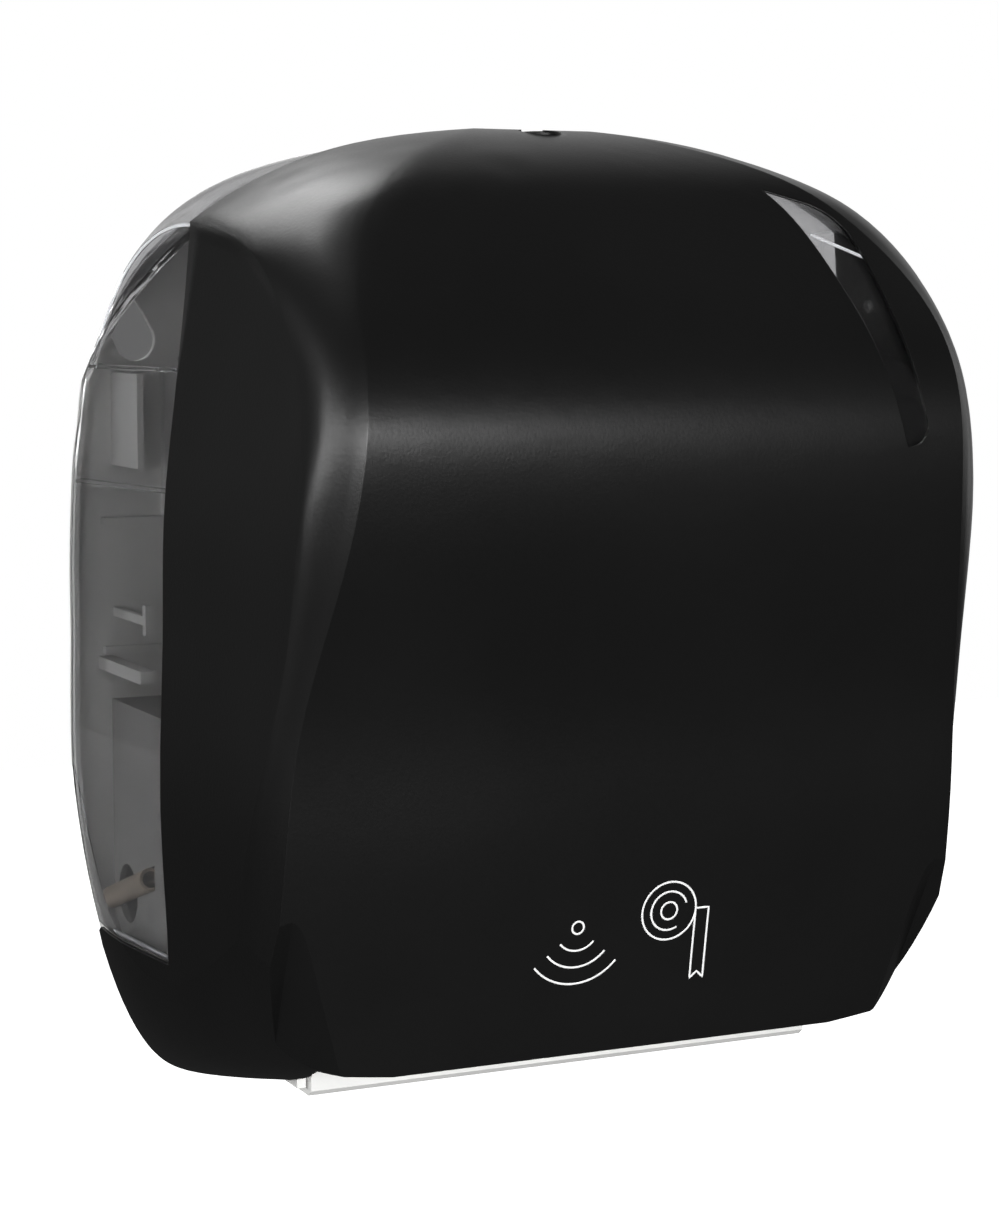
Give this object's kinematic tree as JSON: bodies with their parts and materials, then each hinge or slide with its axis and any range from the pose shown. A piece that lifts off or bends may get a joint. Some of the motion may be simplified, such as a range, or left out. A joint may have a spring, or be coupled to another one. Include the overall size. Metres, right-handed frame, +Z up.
{
  "type": "paper towel dispenser",
  "caption": "Wall dispenser for paper towel rolls: a smoked, hinged cover with a black front over a white back plate, a motor feed with a sensor, a battery box, roll arms and a key lock.",
  "frame": {"origin": "on the wall plane, in the middle of the four wall screws", "axes": "+X to the viewer's right seen from the front, +Y towards the wall, +Z up; the front faces -Y"},
  "size_m": [0.3276, 0.2169, 0.3794],
  "materials": {
    "black_skin": "satin, near black",
    "smoked_clear": "clear, smoked",
    "nickel": "nickel plated",
    "white_plate": "moulded, matt",
    "steel": "zinc plated",
    "grey_frame": "moulded, matt",
    "dark_frame": "moulded, matt",
    "roller_core": "moulded",
    "rubber": "ground, matt",
    "acetal": "natural, slightly waxy",
    "brass": "machined",
    "motor_can": "drawn can",
    "grey_arm": "moulded, matt",
    "cell_wrap": "printed wrap, no print modelled",
    "white_gloss": "polished mould",
    "lens_black": "polished",
    "board_green": "solder mask",
    "button_blue": "polished",
    "tan_sleeve": "extruded tube"
  },
  "bodies": {
    "base": {"back_plate": "white_plate", "hinge_pins": "steel", "cover_catch": "steel", "side_frame_left": "grey_frame", "side_frame_right": "grey_frame", "bearing_plate_left": "dark_frame", "bearing_plate_right": "dark_frame", "frame_screws": "steel", "feed_bushes": "acetal", "idler_pin": "steel", "motor": "motor_can", "pressure_springs": "steel", "roll_arm_right": "grey_arm", "arm_pin": "steel", "arm_bracket": "steel", "arm_spring": "steel", "battery_box": "dark_frame", "batteries": "cell_wrap", "battery_contacts": "nickel", "door_pin": "steel", "outlet_tray": "white_gloss", "sensor_lens": "lens_black", "sensor_board": "board_green", "sensor_clips": "acetal", "paper_guide": "dark_frame", "tear_blade": "steel", "control_board": "board_green", "cable_sleeve": "tan_sleeve", "plate_screws": "steel"},
    "cover": {"cover_skin": "black_skin", "clear_cover": "smoked_clear", "lock_collar": "nickel"},
    "lock": {"lock_barrel": "nickel", "lock_cam": "steel"},
    "feed": {"feed_shaft": "steel", "feed_roller": "roller_core", "feed_sleeves": "rubber", "drum_gear": "acetal"},
    "pressure": {"pressure_roller": "roller_core", "pressure_shaft": "steel"},
    "idler": {"idler_gear": "acetal"},
    "pinion": {"motor_pinion": "brass", "motor_shaft": "steel"},
    "arm": {"roll_arm_left": "grey_arm"},
    "hub_l": {"hub_left": "acetal"},
    "hub_r": {"hub_right": "acetal"},
    "door": {"battery_door": "dark_frame"},
    "button": {"feed_button": "button_blue"}
  },
  "joints": [
    {"name": "cover_hinge", "type": "hinge", "parent": "base", "child": "cover", "pos_m": [0, -0.024, -0.176], "axis": [1, 0, 0], "range_deg": [0, 90]},
    {"name": "lock_turn", "type": "hinge", "parent": "cover", "child": "lock", "pos_m": [0, -0.103, 0.168], "axis": [0, 0, 1], "range_deg": [0, 90]},
    {"name": "feed_turn", "type": "hinge", "parent": "base", "child": "feed", "pos_m": [0, -0.128, -0.098], "axis": [1, 0, 0], "continuous": true},
    {"name": "pressure_turn", "type": "hinge", "parent": "base", "child": "pressure", "pos_m": [0, -0.0996, -0.098], "axis": [1, 0, 0], "continuous": true},
    {"name": "idler_turn", "type": "hinge", "parent": "base", "child": "idler", "pos_m": [0, -0.09, -0.11647], "axis": [1, 0, 0], "continuous": true},
    {"name": "pinion_turn", "type": "hinge", "parent": "base", "child": "pinion", "pos_m": [0, -0.066, -0.1271], "axis": [1, 0, 0], "continuous": true},
    {"name": "arm_swing", "type": "hinge", "parent": "base", "child": "arm", "pos_m": [-0.1065, -0.014, 0.065], "axis": [0, 0, -1], "range_deg": [0, 8], "stiffness_Nm_per_rad": 2, "springref_deg": -5.73, "deforming": ["arm_spring"]},
    {"name": "hub_left_turn", "type": "hinge", "parent": "arm", "child": "hub_l", "pos_m": [-0.096, -0.112, 0.065], "axis": [1, 0, 0], "continuous": true},
    {"name": "hub_right_turn", "type": "hinge", "parent": "base", "child": "hub_r", "pos_m": [0.096, -0.112, 0.065], "axis": [1, 0, 0], "continuous": true},
    {"name": "battery_door_hinge", "type": "hinge", "parent": "base", "child": "door", "pos_m": [0, -0.0762, -0.0374], "axis": [-1, 0, 0], "range_deg": [0, 80]},
    {"name": "feed_button_press", "type": "slide", "parent": "base", "child": "button", "axis": [0, 1, 0], "range_m": [0, 0.0025], "stiffness_N_per_m": 400, "springref_m": -0.001}
  ],
  "couplings": [
    {"joint": "pressure_turn", "follows": "feed_turn", "ratio": -1.5455},
    {"joint": "idler_turn", "follows": "feed_turn", "ratio": -1.1},
    {"joint": "pinion_turn", "follows": "feed_turn", "ratio": 3.6667}
  ]
}
